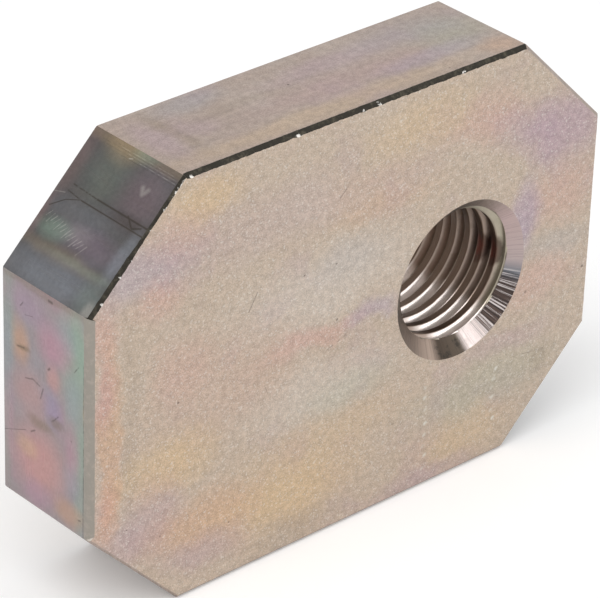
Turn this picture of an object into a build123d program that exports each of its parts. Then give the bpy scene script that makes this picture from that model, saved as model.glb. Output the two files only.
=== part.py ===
"""T-slot nut: a thick steel plate with four cropped corners, tapped off centre.

The nut slides along a T-slot and takes an M16 screw. It is one piece of flat bar.
Frame: X runs along the nut, Y through its thickness (the front face looks to -Y) and
Z up, as it stands on its long edge. The origin is on the thread's axis, half way
through the plate. All sizes are in millimetres.
"""

import math
import os

from build123d import *

# Plate
PLATE_LENGTH = 67.0  # along X, between the two end faces
PLATE_WIDTH = 47.0  # along Z, the width of the flat bar
PLATE_THICKNESS = 13.2  # along Y
CORNER_CUT = 11.3  # each leg of a corner cropped at 45 degrees
CORNER_ROUNDING = 0.3  # radius where two side faces meet

# Tapped hole
THREAD_DIAMETER = 16.0  # nominal, M16 coarse
THREAD_PITCH = 2.0
THREAD_FILL = 0.83  # share of the full thread height that the tapping drill leaves
THREAD_END_DISTANCE = 18.8  # from the thread's axis to the near (+X) end face
THREAD_DROP = 0.6  # how far the thread's axis lies below the plate's middle
COUNTERSINK_DIAMETER = 17.6  # at each face of the plate
COUNTERSINK_ANGLE = 100.0  # full angle of the cone, in degrees

# Bevels of the front and back faces, each leg of a 45 degree bevel
FRONT_BEVEL = 0.4
FRONT_END_BEVEL = 0.7  # along the far (-X) end, where the bar was sawn
BACK_BEVEL = 0.25

# A full metric thread's crest stands 5/8 of the sharp triangle's height inside the nominal
SHARP_HEIGHT = THREAD_PITCH * math.sqrt(3) / 2
CREST_RADIUS = THREAD_DIAMETER / 2 - THREAD_FILL * SHARP_HEIGHT * 5 / 8
COUNTERSINK_RADIUS = COUNTERSINK_DIAMETER / 2
COUNTERSINK_DEPTH = (COUNTERSINK_RADIUS - CREST_RADIUS) / math.tan(
    math.radians(COUNTERSINK_ANGLE / 2)
)

NEAR_END = THREAD_END_DISTANCE
FAR_END = THREAD_END_DISTANCE - PLATE_LENGTH
TOP_EDGE = PLATE_WIDTH / 2 + THREAD_DROP
LONG_EDGE = TOP_EDGE - PLATE_WIDTH
HALF_THICKNESS = PLATE_THICKNESS / 2


def outline_points():
    """The eight corners of the cropped rectangle as (x, z), anticlockwise from the front."""
    return [
        (FAR_END + CORNER_CUT, LONG_EDGE),
        (NEAR_END - CORNER_CUT, LONG_EDGE),
        (NEAR_END, LONG_EDGE + CORNER_CUT),
        (NEAR_END, TOP_EDGE - CORNER_CUT),
        (NEAR_END - CORNER_CUT, TOP_EDGE),
        (FAR_END + CORNER_CUT, TOP_EDGE),
        (FAR_END, TOP_EDGE - CORNER_CUT),
        (FAR_END, LONG_EDGE + CORNER_CUT),
    ]


def make_plate():
    """The cropped plate, with the corners between its side faces slightly rounded."""
    outline = make_face(Plane.XZ * Polyline(*outline_points(), close=True))
    plate = extrude(outline, amount=HALF_THICKNESS, both=True)
    return fillet(plate.edges().filter_by(Axis.Y), CORNER_ROUNDING)


def bevel_plane(start, end, leg, face):
    """The plane of a bevel along one side; face is -1 at the front and +1 at the back."""
    side = Vector(end[0] - start[0], 0, end[1] - start[1]).normalized()
    outward = Vector(side.Z, 0, -side.X)
    corner = Vector(start[0], face * HALF_THICKNESS, start[1])
    return Plane(origin=corner - outward * leg, x_dir=side, z_dir=outward + Vector(0, face, 0))


def bevel_faces(plate):
    """Break the outline edges of both faces. The plate is convex, so each is one plane cut."""
    corners = outline_points()
    for start, end in zip(corners, corners[1:] + corners[:1]):
        at_far_end = start[0] == FAR_END and end[0] == FAR_END
        front = FRONT_END_BEVEL if at_far_end else FRONT_BEVEL
        plate = split(plate, bisect_by=bevel_plane(start, end, front, -1), keep=Keep.BOTTOM)
        plate = split(plate, bisect_by=bevel_plane(start, end, BACK_BEVEL, 1), keep=Keep.BOTTOM)
    return plate


def tapped_hole():
    """What the drill, countersink and tap remove, bored to the thread's crests."""
    wall_end = HALF_THICKNESS - COUNTERSINK_DEPTH
    half_section = Polyline(
        (0, -HALF_THICKNESS),
        (COUNTERSINK_RADIUS, -HALF_THICKNESS),
        (CREST_RADIUS, -wall_end),
        (CREST_RADIUS, wall_end),
        (COUNTERSINK_RADIUS, HALF_THICKNESS),
        (0, HALF_THICKNESS),
        close=True,
    )
    return revolve(make_face(half_section), Axis.Y)


def main():
    """Build the nut and write its STEP file."""
    nut = bevel_faces(make_plate()) - tapped_hole()
    print(f"crest radius {CREST_RADIUS:.4f}, wall {PLATE_THICKNESS - 2 * COUNTERSINK_DEPTH:.4f}")
    os.makedirs("parts", exist_ok=True)
    export_step(nut, "parts/t_slot_nut.step")


main()
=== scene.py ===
"""Looks of a T slot nut: one zinc plated steel plate with cut corners and a countersunk, tapped hole.

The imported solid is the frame. One detailed closed mesh stands for it: the plate's two faces and its band
of sides come from mesh code, and the countersunk screw thread comes from a Geometry Nodes tree. Sizes on
the part are in millimetres and are turned into metres when the meshes are made. X runs along the nut,
the front face looks to -Y, and the nut stands on its long edge with Z up.
"""

from __future__ import annotations

import logging
import math
import random
from dataclasses import dataclass, field
from enum import Enum
from typing import NamedTuple

import bmesh
import bpy
import numpy as np
from mathutils import Matrix, Vector, noise
from mathutils.geometry import delaunay_2d_cdt

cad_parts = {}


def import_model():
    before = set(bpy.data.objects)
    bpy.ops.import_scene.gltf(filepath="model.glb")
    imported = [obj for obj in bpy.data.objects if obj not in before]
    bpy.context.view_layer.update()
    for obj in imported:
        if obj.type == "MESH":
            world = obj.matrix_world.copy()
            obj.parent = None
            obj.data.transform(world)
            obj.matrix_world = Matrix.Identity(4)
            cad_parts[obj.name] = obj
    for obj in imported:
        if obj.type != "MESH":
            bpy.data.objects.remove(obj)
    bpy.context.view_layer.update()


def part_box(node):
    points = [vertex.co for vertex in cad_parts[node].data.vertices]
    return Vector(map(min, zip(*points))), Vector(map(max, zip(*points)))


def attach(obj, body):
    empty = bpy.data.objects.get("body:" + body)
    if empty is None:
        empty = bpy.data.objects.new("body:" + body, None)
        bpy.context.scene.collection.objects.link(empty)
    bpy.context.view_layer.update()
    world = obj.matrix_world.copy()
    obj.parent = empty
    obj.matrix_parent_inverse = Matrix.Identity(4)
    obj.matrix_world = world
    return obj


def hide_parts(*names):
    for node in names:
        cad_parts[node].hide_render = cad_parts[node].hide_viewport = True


LOG = logging.getLogger("t_slot_nut")
MM = 0.001
NODE = "t_slot_nut"
BODY = "root"
WELD = 0.0008  # millimetres
HALF_SQRT = math.sqrt(0.5)
HALF_TURN = math.radians(22.5)  # half the turn at each corner of the outline
ORIGIN = (0.0, 0.0, 0.0)
ALONG_X = (1.0, 0.0, 0.0)
ALONG_Y = (0.0, 1.0, 0.0)
ALONG_Z = (0.0, 0.0, 1.0)

Colour = tuple[float, float, float]
Point2 = tuple[float, float]
Point3 = tuple[float, float, float]
Socket = bpy.types.NodeSocket
Tree = bpy.types.NodeTree
Node = bpy.types.Node


def linear(red: int, green: int, blue: int) -> Colour:
    """Turns an eight bit display colour into a linear one.

    Args:
        red: red level, 0 to 255.
        green: green level, 0 to 255.
        blue: blue level, 0 to 255.

    Returns:
        The three linear levels, 0 to 1.
    """
    return tuple(
        level / 255 / 12.92 if level <= 10 else ((level / 255 + 0.055) / 1.055) ** 2.4
        for level in (red, green, blue)
    )


class Film(Enum):
    """Interference colours of the passivated zinc, from the thinnest film to the thickest."""

    PALE = linear(206, 198, 190)
    STRAW = linear(214, 182, 132)
    AMBER = linear(208, 158, 116)
    ROSE = linear(206, 150, 144)
    PINK = linear(190, 140, 158)
    MAUVE = linear(168, 140, 166)
    VIOLET = linear(150, 140, 182)
    STEEL = linear(150, 156, 166)
    SEA = linear(144, 172, 152)
    UMBER = linear(128, 112, 92)
    # DARK_TONE darkens pits and scratches, and is also painted shade in the gouge on the cropped face.
    DARK_TONE = linear(62, 56, 50)
    # SILVER and FROST also paint highlights: glints on the grain, bright dots on the dimples and on
    # knocked edges.
    SILVER = linear(226, 222, 216)
    FROST = linear(216, 213, 204)


class Side(Enum):
    """The plate's eight sides in order round it, seen from the front, from the far top corner cut."""

    CUT_TOP_FAR = 0
    END_FAR = 1
    CUT_LOW_FAR = 2
    LONG_LOW = 3
    CUT_LOW_NEAR = 4
    END_NEAR = 5
    CUT_TOP_NEAR = 6
    LONG_TOP = 7


SEEN_SIDES = (Side.CUT_TOP_FAR, Side.END_FAR, Side.LONG_TOP, Side.CUT_LOW_FAR)
RAGGED = {Side.LONG_TOP: 1.0, Side.CUT_TOP_FAR: 0.8, Side.CUT_LOW_FAR: 0.6}
RAGGED_ELSEWHERE = 0.25
TEARS = ((1.0, 0.5), (3.1, 0.32), (7.7, 0.2))  # pace along the edge and share of the tear


class Skin(Enum):
    """The finishes on the nut, in the order of its material slots."""

    FACE = 0
    DRAWN = 1
    CROPPED = 2
    END = 3
    PAINTED_DARK_BEVEL = 4
    END_BEVEL = 5
    COUNTERSINK = 6
    THREAD = 7
    BACK = 8


# --------------------------------------------------------------------------------------------------
# Shader helpers
# --------------------------------------------------------------------------------------------------


@dataclass
class Bench:
    """A node tree being wired, with short ways to add the nodes that the finishes use."""

    tree: Tree

    def node(self, kind: str, **settings: object) -> Node:
        """Adds a node.

        Args:
            kind: the node's type name.
            settings: attributes to set on it.

        Returns:
            The new node.
        """
        made = self.tree.nodes.new(kind)
        for name, value in settings.items():
            setattr(made, name, value)
        return made

    def feed(self, socket: Socket, source: object) -> None:
        """Links a socket to another node's output, or sets its value.

        Args:
            socket: the input to fill.
            source: an output socket, a number or a tuple.
        """
        if isinstance(source, Socket):
            self.tree.links.new(source, socket)
        elif isinstance(source, tuple) and len(source) == 3 and socket.type == "RGBA":
            socket.default_value = (*source, 1.0)
        else:
            socket.default_value = source

    def math(self, operation: str, *terms: object, clamp: bool = False) -> Socket:
        """Adds a Math node on the given terms and returns its output."""
        made = self.node("ShaderNodeMath", operation=operation, use_clamp=clamp)
        for socket, term in zip(made.inputs, terms):
            self.feed(socket, term)
        return made.outputs[0]

    def times(self, first: object, second: object) -> Socket:
        """Adds a Math node that multiplies two terms and returns its output."""
        return self.math("MULTIPLY", first, second)

    def vector(self, operation: str, *terms: object) -> Socket:
        """Adds a Vector Math node on the given terms and returns its vector or value output."""
        made = self.node("ShaderNodeVectorMath", operation=operation)
        sockets = (made.inputs[0], made.inputs["Scale"]) if operation == "SCALE" else made.inputs
        for socket, term in zip(sockets, terms):
            self.feed(socket, term)
        return made.outputs["Value" if operation in ("LENGTH", "DOT_PRODUCT", "DISTANCE") else "Vector"]

    def ease(self, value: object, low: object, high: object) -> Socket:
        """Adds a smooth step of the value, from 0 at low to 1 at high."""
        made = self.node("ShaderNodeMapRange", interpolation_type="SMOOTHSTEP")
        for name, term in (("Value", value), ("From Min", low), ("From Max", high)):
            self.feed(made.inputs[name], term)
        return made.outputs["Result"]

    def mix(self, factor: object, first: object, second: object, blend: str = "MIX") -> Socket:
        """Adds a colour Mix node and returns its colour."""
        made = self.node("ShaderNodeMix", data_type="RGBA", blend_type=blend)
        self.feed(made.inputs[0], factor)
        self.feed(made.inputs[6], first)
        self.feed(made.inputs[7], second)
        return made.outputs[2]

    def noise(self, place: object, scale: object, detail: float = 2.0, roughness: float = 0.5) -> Node:
        """Adds a Noise Texture node and returns it."""
        made = self.node("ShaderNodeTexNoise")
        self.feed(made.inputs["Vector"], place)
        self.feed(made.inputs["Scale"], scale)
        made.inputs["Detail"].default_value = detail
        made.inputs["Roughness"].default_value = roughness
        return made

    def ramp(self, value: object, stops: tuple[tuple[float, Colour], ...]) -> Socket:
        """Adds a Color Ramp and returns its colour.

        Args:
            value: what runs along the ramp.
            stops: places from 0 to 1 with their colours.

        Returns:
            The colour output.
        """
        made = self.node("ShaderNodeValToRGB")
        marks = made.color_ramp.elements
        while len(marks) < len(stops):
            marks.new(0.5)
        for mark, (place, colour) in zip(marks, stops):
            mark.position = place
            mark.color = (*colour, 1.0)
        self.feed(made.inputs[0], value)
        return made.outputs[0]

    def group(self, tree: Tree, **values: object) -> Node:
        """Places a node group.

        Args:
            tree: the group's tree.
            values: its inputs by name, with spaces written as underscores.

        Returns:
            The group node.
        """
        made = self.node("ShaderNodeGroup", node_tree=tree)
        for name, value in values.items():
            self.feed(made.inputs[name.replace("_", " ")], value)
        return made


class Effects:
    """The shader node groups that more than one finish uses, each built once."""

    def __init__(self) -> None:
        """Builds every group."""
        self.face_plane = self._face_plane()
        self.film_patch = self._film_patch()
        self.scratch = self._scratch()
        self.grain = self._grain()
        self.streaks = self._streaks()
        self.specks = self._specks()

    @staticmethod
    def _start(
        name: str, inputs: dict[str, tuple[str, object]], outputs: dict[str, str]
    ) -> tuple[Bench, bpy.types.NodeOutputs, bpy.types.NodeInputs]:
        """Makes an empty group.

        Args:
            name: the group's name.
            inputs: socket names with their kind and default value.
            outputs: socket names with their kind.

        Returns:
            The bench, what the group is given by name, and what it puts out by name.
        """
        tree = bpy.data.node_groups.new(name, "ShaderNodeTree")
        for label, (kind, value) in inputs.items():
            socket = tree.interface.new_socket(label, in_out="INPUT", socket_type="NodeSocket" + kind)
            if value is not None:
                socket.default_value = value
        for label, kind in outputs.items():
            tree.interface.new_socket(label, in_out="OUTPUT", socket_type="NodeSocket" + kind)
        bench = Bench(tree)
        return bench, bench.node("NodeGroupInput").outputs, bench.node("NodeGroupOutput").inputs

    def _face_plane(self) -> Tree:
        """Turns a place on the nut into a place along and across one flat face."""
        bench, given, made = self._start(
            "Face plane",
            {
                "Vector": ("Vector", None),
                "Origin": ("Vector", ORIGIN),
                "Along": ("Vector", ALONG_X),
                "Across": ("Vector", ALONG_Z),
            },
            {"Plane": "Vector"},
        )
        from_origin = bench.vector("SUBTRACT", given["Vector"], given["Origin"])
        joined = bench.node("ShaderNodeCombineXYZ")
        bench.feed(joined.inputs[0], bench.vector("DOT_PRODUCT", from_origin, given["Along"]))
        bench.feed(joined.inputs[1], bench.vector("DOT_PRODUCT", from_origin, given["Across"]))
        bench.feed(made["Plane"], joined.outputs[0])
        return bench.tree

    def _film_patch(self) -> Tree:
        """Lays one soft edged patch of film colour over a colour."""
        bench, given, made = self._start(
            "Film patch",
            {
                "Plane": ("Vector", None),
                "Centre": ("Vector", ORIGIN),
                "Half Size": ("Vector", (1.0, 1.0, 1.0)),
                "Softness": ("Float", 0.5),
                "Strength": ("Float", 0.5),
                "Film": ("Color", (1.0, 1.0, 1.0, 1.0)),
                "Under": ("Color", (0.5, 0.5, 0.5, 1.0)),
            },
            {"Color": "Color"},
        )
        from_centre = bench.vector("SUBTRACT", given["Plane"], given["Centre"])
        reach = bench.vector("LENGTH", bench.vector("DIVIDE", from_centre, given["Half Size"]))
        outer = bench.math("ADD", 1.0, given["Softness"])
        inner = bench.math("SUBTRACT", 1.0, given["Softness"])
        mask = bench.times(bench.ease(reach, outer, inner), given["Strength"])
        bench.feed(made["Color"], bench.mix(mask, given["Under"], given["Film"]))
        return bench.tree

    def _scratch(self) -> Tree:
        """Gives the mask of one straight scratch between two points of a face."""
        bench, given, made = self._start(
            "Scratch",
            {
                "Plane": ("Vector", None),
                "Start": ("Vector", ORIGIN),
                "End": ("Vector", ALONG_X),
                "Half Width": ("Float", 0.1),
                "Breaks": ("Float", 0.5),
            },
            {"Mask": "Float"},
        )
        run = bench.vector("SUBTRACT", given["End"], given["Start"])
        to_point = bench.vector("SUBTRACT", given["Plane"], given["Start"])
        share = bench.math(
            "DIVIDE",
            bench.vector("DOT_PRODUCT", to_point, run),
            bench.vector("DOT_PRODUCT", run, run),
            clamp=True,
        )
        nearest = bench.vector("SCALE", run, share)
        gap = bench.vector("DISTANCE", to_point, nearest)
        line = bench.ease(gap, given["Half Width"], 0.0)
        broken = bench.noise(given["Plane"], 2.2, 2.0).outputs["Fac"]
        gone = bench.times(given["Breaks"], 0.45)
        kept = bench.ease(broken, gone, bench.math("ADD", 0.2, given["Breaks"]))
        bench.feed(made["Mask"], bench.times(line, kept))
        return bench.tree

    def _grain(self) -> Tree:
        """Gives the height of a blasted, plated surface and the mask of painted glints on its crystals."""
        bench, given, made = self._start(
            "Plated grain",
            {"Plane": ("Vector", None), "Grain Size": ("Float", 0.25), "Waviness": ("Float", 0.16)},
            {"Height": "Float", "Sparkle": "Float", "Mottle": "Float"},
        )
        fine = bench.math("DIVIDE", 1.0, given["Grain Size"])
        grit = bench.noise(given["Plane"], fine, 3.0, 0.65).outputs["Fac"]
        slow = bench.times(fine, 0.22)
        coarse = bench.noise(given["Plane"], slow).outputs["Fac"]
        cells = bench.node("ShaderNodeTexVoronoi")
        bench.feed(cells.inputs["Vector"], given["Plane"])
        bench.feed(cells.inputs["Scale"], bench.times(fine, 1.1))
        height = bench.math("MULTIPLY_ADD", coarse, given["Waviness"], grit)
        bench.feed(made["Height"], height)
        bright = bench.node("ShaderNodeSeparateColor")
        bench.feed(bright.inputs[0], cells.outputs["Color"])
        bench.feed(made["Sparkle"], bench.ease(bright.outputs[0], 0.86, 1.0))
        uneven = bench.math("ADD", grit, bench.times(coarse, 0.5))
        bench.feed(made["Mottle"], bench.ease(uneven, 0.5, 1.0))
        return bench.tree

    def _streaks(self) -> Tree:
        """Gives drawn streaks that run along a face."""
        bench, given, made = self._start(
            "Drawn streaks",
            {
                "Plane": ("Vector", None),
                "Stretch": ("Vector", (0.05, 1.0, 1.0)),
                "Scale": ("Float", 2.0),
            },
            {"Streak": "Float", "Drift": "Float"},
        )
        pulled = bench.vector("MULTIPLY", given["Plane"], given["Stretch"])
        quick = bench.noise(pulled, given["Scale"], 4.0, 0.6)
        bench.feed(made["Streak"], quick.outputs["Fac"])
        slow = bench.times(given["Scale"], 0.2)
        bench.feed(made["Drift"], bench.noise(pulled, slow, 2.0).outputs["Fac"])
        return bench.tree

    def _specks(self) -> Tree:
        """Gives the mask of scattered small pits or specks."""
        bench, given, made = self._start(
            "Specks",
            {
                "Plane": ("Vector", None),
                "Spacing": ("Float", 2.0),
                "Radius": ("Float", 0.12),
                "Share": ("Float", 0.4),
            },
            {"Mask": "Float"},
        )
        pace = bench.math("DIVIDE", 1.0, given["Spacing"])
        wobble = bench.noise(given["Plane"], 3.0, 1.0)
        shift = bench.vector("SCALE", wobble.outputs["Color"], 0.16)
        cells = bench.node("ShaderNodeTexVoronoi")
        bench.feed(cells.inputs["Vector"], bench.vector("ADD", given["Plane"], shift))
        bench.feed(cells.inputs["Scale"], pace)
        chosen = bench.node("ShaderNodeSeparateColor")
        bench.feed(chosen.inputs[0], cells.outputs["Color"])
        widest = bench.times(given["Radius"], pace)
        size = bench.times(widest, chosen.outputs[1])
        outer = bench.times(size, 1.5)
        dot = bench.ease(cells.outputs["Distance"], outer, bench.times(size, 0.5))
        picked = bench.math("LESS_THAN", chosen.outputs[0], given["Share"])
        bench.feed(made["Mask"], bench.times(dot, picked))
        return bench.tree


# --------------------------------------------------------------------------------------------------
# Finishes
# --------------------------------------------------------------------------------------------------


@dataclass(frozen=True)
class Patch:
    """One soft patch of film colour on a face, in millimetres along and across it."""

    centre: Point2
    half: Point2
    film: Film
    strength: float
    softness: float = 0.7


@dataclass(frozen=True)
class Line:
    """One scratch on a face, from start to end, in millimetres along and across it."""

    start: Point2
    end: Point2
    half_width: float = 0.1
    breaks: float = 0.3
    strength: float = 1.0


class Look(NamedTuple):
    """What one finish puts into its material."""

    colour: Socket
    roughness: Socket | float
    height: Socket


class Finish:
    """One finish of the nut, worked out from the place on it in millimetres."""

    name: str
    metallic: float
    relief: float

    def look(self, bench: Bench, effects: Effects, place: Socket) -> Look:
        """Wires the finish.

        Args:
            bench: the material's node tree.
            effects: the shared node groups.
            place: the place on the nut, in millimetres.

        Returns:
            Its colour, roughness and height of relief.
        """
        raise NotImplementedError

    def make(self, effects: Effects) -> bpy.types.Material:
        """Builds the material.

        Args:
            effects: the shared node groups.

        Returns:
            The new material.
        """
        material = bpy.data.materials.new(self.name)
        material.use_nodes = True
        bench = Bench(material.node_tree)
        shader = material.node_tree.nodes["Principled BSDF"]
        place = bench.node("ShaderNodeTexCoord").outputs["Object"]
        look = self.look(bench, effects, bench.vector("SCALE", place, 1 / MM))
        bump = bench.node("ShaderNodeBump")
        bump.inputs["Distance"].default_value = self.relief * MM
        bench.feed(bump.inputs["Height"], look.height)
        shader.inputs["Metallic"].default_value = self.metallic
        bench.feed(shader.inputs["Base Color"], look.colour)
        bench.feed(shader.inputs["Roughness"], look.roughness)
        bench.feed(shader.inputs["Normal"], bump.outputs[0])
        return material


@dataclass(frozen=True)
class PlatedFinish(Finish):
    """Zinc plate on one flat face of the nut.

    The face's own axes are given by an origin and two directions. Patches of film colour lie over the
    base colour in order, then painted glints, and dark and bright lines over those: mostly scratches,
    but also painted shade in grooves and painted highlights on dimples.
    """

    name: str
    base: Colour
    origin: Point3
    along: Point3
    across: Point3
    metallic: float = 0.7
    roughness: float = 0.42
    grain_size: float = 0.16
    relief: float = 0.010
    mottle: float = 0.42
    sparkle: float = 0.45
    warp: float = 2.4
    streak: float = 0.0
    streak_stretch: Point3 = (0.05, 1.0, 1.0)
    streak_colour: Colour = (0.16, 0.13, 0.12)
    drift: tuple[Film, Film] = (Film.PALE, Film.MAUVE)
    drift_strength: float = 0.16
    specks: float = 0.35
    speck_spacing: float = 2.2
    speck_radius: float = 0.16
    speck_strength: float = 0.55
    speck_depth: float = 2.0
    scratch_depth: float = 3.0
    patches: tuple[Patch, ...] = ()
    film_strength: float = 1.0
    dark_lines: tuple[Line, ...] = ()
    dark_strength: float = 0.8
    bright_lines: tuple[Line, ...] = ()
    bright_strength: float = 0.6

    def look(self, bench: Bench, effects: Effects, place: Socket) -> Look:
        """Lays films, streaks, grain, painted glints, specks and scratches over the base colour; some
        bright lines are painted highlights.
        """
        plane = bench.group(
            effects.face_plane, Vector=place, Origin=self.origin, Along=self.along, Across=self.across
        ).outputs[0]
        colour = self._films(bench, effects, self._warp(bench, plane))
        streaks = bench.group(effects.streaks, Plane=plane, Stretch=self.streak_stretch)
        drawn = bench.times(bench.ease(streaks.outputs["Streak"], 0.35, 0.75), self.streak)
        colour = bench.mix(drawn, colour, self.streak_colour)
        grain = bench.group(effects.grain, Plane=plane, Grain_Size=self.grain_size)
        shade = bench.math("MULTIPLY_ADD", grain.outputs["Mottle"], self.mottle, 1 - self.mottle / 2)
        colour = bench.mix(1.0, colour, shade, "MULTIPLY")
        # Painted glints: silver dots where the crystals would catch the light.
        glint = bench.times(grain.outputs["Sparkle"], self.sparkle)
        colour = bench.mix(glint, colour, Film.SILVER.value)
        specks = bench.group(
            effects.specks,
            Plane=plane,
            Spacing=self.speck_spacing,
            Radius=self.speck_radius,
            Share=self.specks,
        ).outputs[0]
        colour = bench.mix(bench.times(specks, self.speck_strength), colour, Film.DARK_TONE.value)
        height = bench.math("MULTIPLY_ADD", specks, -self.speck_depth, grain.outputs["Height"])
        dark = self._lines(bench, effects, plane, self.dark_lines)
        if dark is not None:
            colour = bench.mix(bench.times(dark, self.dark_strength), colour, Film.DARK_TONE.value)
            height = bench.math("MULTIPLY_ADD", dark, -self.scratch_depth, height)
        bright = self._lines(bench, effects, plane, self.bright_lines)
        if bright is not None:
            shown = bench.times(bright, self.bright_strength)
            colour = bench.mix(shown, colour, Film.FROST.value)
        pitted = bench.math("MULTIPLY_ADD", specks, 0.2, self.roughness - 0.07)
        rough = bench.math("MULTIPLY_ADD", streaks.outputs["Drift"], 0.14, pitted)
        return Look(colour, rough, height)

    def _warp(self, bench: Bench, plane: Socket) -> Socket:
        """Bends the face's coordinates, so that patches of film have cloudy outlines."""
        cloud = bench.noise(plane, 0.16, 4.0, 0.6)
        centred = bench.vector("SUBTRACT", cloud.outputs["Color"], (0.5, 0.5, 0.5))
        flat = bench.vector("MULTIPLY", centred, (2 * self.warp, 2 * self.warp, 0.0))
        return bench.vector("ADD", plane, flat)

    def _films(self, bench: Bench, effects: Effects, warped: Socket) -> Socket:
        """Lays the drifting film and then the patches over the base colour."""
        slow = bench.noise(warped, 0.11, 3.0, 0.55)
        first = bench.times(bench.ease(slow.outputs["Fac"], 0.5, 0.72), self.drift_strength)
        second = bench.times(bench.ease(slow.outputs["Fac"], 0.5, 0.3), self.drift_strength)
        colour = bench.mix(first, self.base, self.drift[0].value)
        colour = bench.mix(second, colour, self.drift[1].value)
        for patch in self.patches:
            colour = bench.group(
                effects.film_patch,
                Plane=warped,
                Centre=(*patch.centre, 0.0),
                Half_Size=(*patch.half, 1.0),
                Softness=patch.softness,
                Strength=patch.strength * self.film_strength,
                Film=(*patch.film.value, 1.0),
                Under=colour,
            ).outputs["Color"]
        return colour

    @staticmethod
    def _lines(
        bench: Bench, effects: Effects, plane: Socket, lines: tuple[Line, ...]
    ) -> Socket | None:
        """Joins the masks of several scratches, or gives None where there are none."""
        mask = None
        for line in lines:
            one = bench.group(
                effects.scratch,
                Plane=plane,
                Start=(*line.start, 0.0),
                End=(*line.end, 0.0),
                Half_Width=line.half_width,
                Breaks=line.breaks,
            ).outputs[0]
            one = bench.times(one, line.strength)
            mask = one if mask is None else bench.math("MAXIMUM", mask, one)
        return mask


@dataclass(frozen=True)
class EdgeFinish(Finish):
    """A bevelled edge: ragged where sheared, and there painted near black as a dark reflection;
    silver where knocked, as bare metal with a painted highlight.
    """

    name: str
    base: Colour
    light: Colour
    metallic: float = 0.6
    roughness: float = 0.5
    relief: float = 0.03
    mottle: float = 0.5

    def look(self, bench: Bench, effects: Effects, place: Socket) -> Look:
        """Breaks up the edge's colour, and reads how bright each knocked spot is from the mesh."""
        grain = bench.group(effects.grain, Plane=place, Grain_Size=0.5)
        spots = bench.ease(bench.noise(place, 1.4, 4.0, 0.7).outputs["Fac"], 0.45, 0.75)
        colour = bench.mix(bench.times(spots, self.mottle), self.base, self.light)
        wear_and_glint = bench.node("ShaderNodeAttribute", attribute_name="bright_edge").outputs["Fac"]
        chips = bench.math("SUBTRACT", bench.noise(place, 3.6, 3.0, 0.7).outputs["Fac"], 0.5)
        bright = bench.ease(bench.math("MULTIPLY_ADD", chips, 1.9, wear_and_glint), 0.5, 0.75)
        # Silver knocks: bare metal, with a painted highlight on the knocked facets.
        colour = bench.mix(bench.times(bright, 0.85), colour, Film.SILVER.value)
        rough = bench.math("MULTIPLY_ADD", bright, -0.2, self.roughness)
        return Look(colour, rough, grain.outputs["Height"])


@dataclass(frozen=True)
class CountersinkFinish(Finish):
    """The turned cone at the mouth of the hole, with painted highlight and shade round it, and chatter
    from the tool over part of its turn.
    """

    name: str = "countersink"
    metallic: float = 0.75
    roughness: float = 0.34
    relief: float = 0.03
    lines_per_turn: float = 260.0
    bright_line: Colour = linear(214, 206, 204)
    dark_line: Colour = linear(48, 44, 44)
    blotchy_dark: Colour = linear(40, 38, 34)
    # The tones stand for how light falls round the cone: painted highlight from 0.285 to 0.325 of the
    # turn, painted shade beside it, lighter tones again from 0.49.
    tones: tuple[tuple[float, Colour], ...] = (
        (0.00, linear(96, 84, 74)),
        (0.12, linear(128, 112, 100)),
        (0.185, linear(176, 156, 142)),
        (0.21, linear(78, 66, 56)),
        (0.268, linear(84, 74, 64)),
        (0.285, linear(226, 212, 208)),
        (0.325, linear(216, 202, 198)),
        (0.34, linear(88, 72, 66)),
        (0.438, linear(74, 62, 58)),
        (0.462, linear(122, 124, 130)),
        # Near black on the top bevels: a painted dark reflection; the ragged shape comes from the mesh.
        (0.49, linear(184, 168, 166)),
        (0.60, linear(192, 170, 168)),
        (0.68, linear(156, 140, 130)),
        (0.78, linear(118, 108, 98)),
        (0.90, linear(98, 88, 78)),
        (1.00, linear(96, 84, 74)),
    )

    def look(self, bench: Bench, effects: Effects, place: Socket) -> Look:
        """Paints the cone's highlight and shade as tones by the angle round the hole, and works out the
        chatter from that angle.
        """
        parts = bench.node("ShaderNodeSeparateXYZ")
        bench.feed(parts.inputs[0], place)
        angle = bench.math("ARCTAN2", parts.outputs["Z"], parts.outputs["X"])
        turn = bench.math("MULTIPLY_ADD", angle, 0.5 / math.pi, 0.5)
        colour = bench.ramp(turn, self.tones)
        radial = bench.node("ShaderNodeCombineXYZ")
        bench.feed(radial.inputs[0], bench.times(turn, self.lines_per_turn))
        bench.feed(radial.inputs[1], bench.times(parts.outputs["Y"], 0.12))
        chatter = bench.noise(radial.outputs[0], 1.0, 4.0, 0.7).outputs["Fac"]
        zone = bench.times(bench.ease(turn, 0.30, 0.34), bench.ease(turn, 0.475, 0.455))
        # Light chatter lines only from 0.30 to 0.475 of the turn: a painted highlight on the real
        # chatter's ridges; dark lines everywhere.
        light = bench.times(bench.ease(chatter, 0.53, 0.6), zone)
        dark = bench.times(bench.ease(chatter, 0.48, 0.40), bench.math("MAXIMUM", zone, 0.25))
        colour = bench.mix(bench.times(light, 0.85), colour, self.bright_line)
        colour = bench.mix(bench.times(dark, 0.8), colour, self.dark_line)
        blotch = bench.ease(bench.noise(place, 0.9, 4.0, 0.7).outputs["Fac"], 0.5, 0.7)
        # Blotchy darkening over the ramp's dark band, from 0.19 to 0.30 of the turn.
        low = bench.times(bench.ease(turn, 0.19, 0.21), bench.ease(turn, 0.30, 0.26))
        blotched_dark = bench.times(blotch, bench.times(low, 0.7))
        colour = bench.mix(blotched_dark, colour, self.blotchy_dark)
        grain = bench.group(effects.grain, Plane=place, Grain_Size=0.3)
        ridges = bench.times(chatter, zone)
        height = bench.math("MULTIPLY_ADD", ridges, 3.0, grain.outputs["Height"])
        return Look(colour, self.roughness, height)


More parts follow.
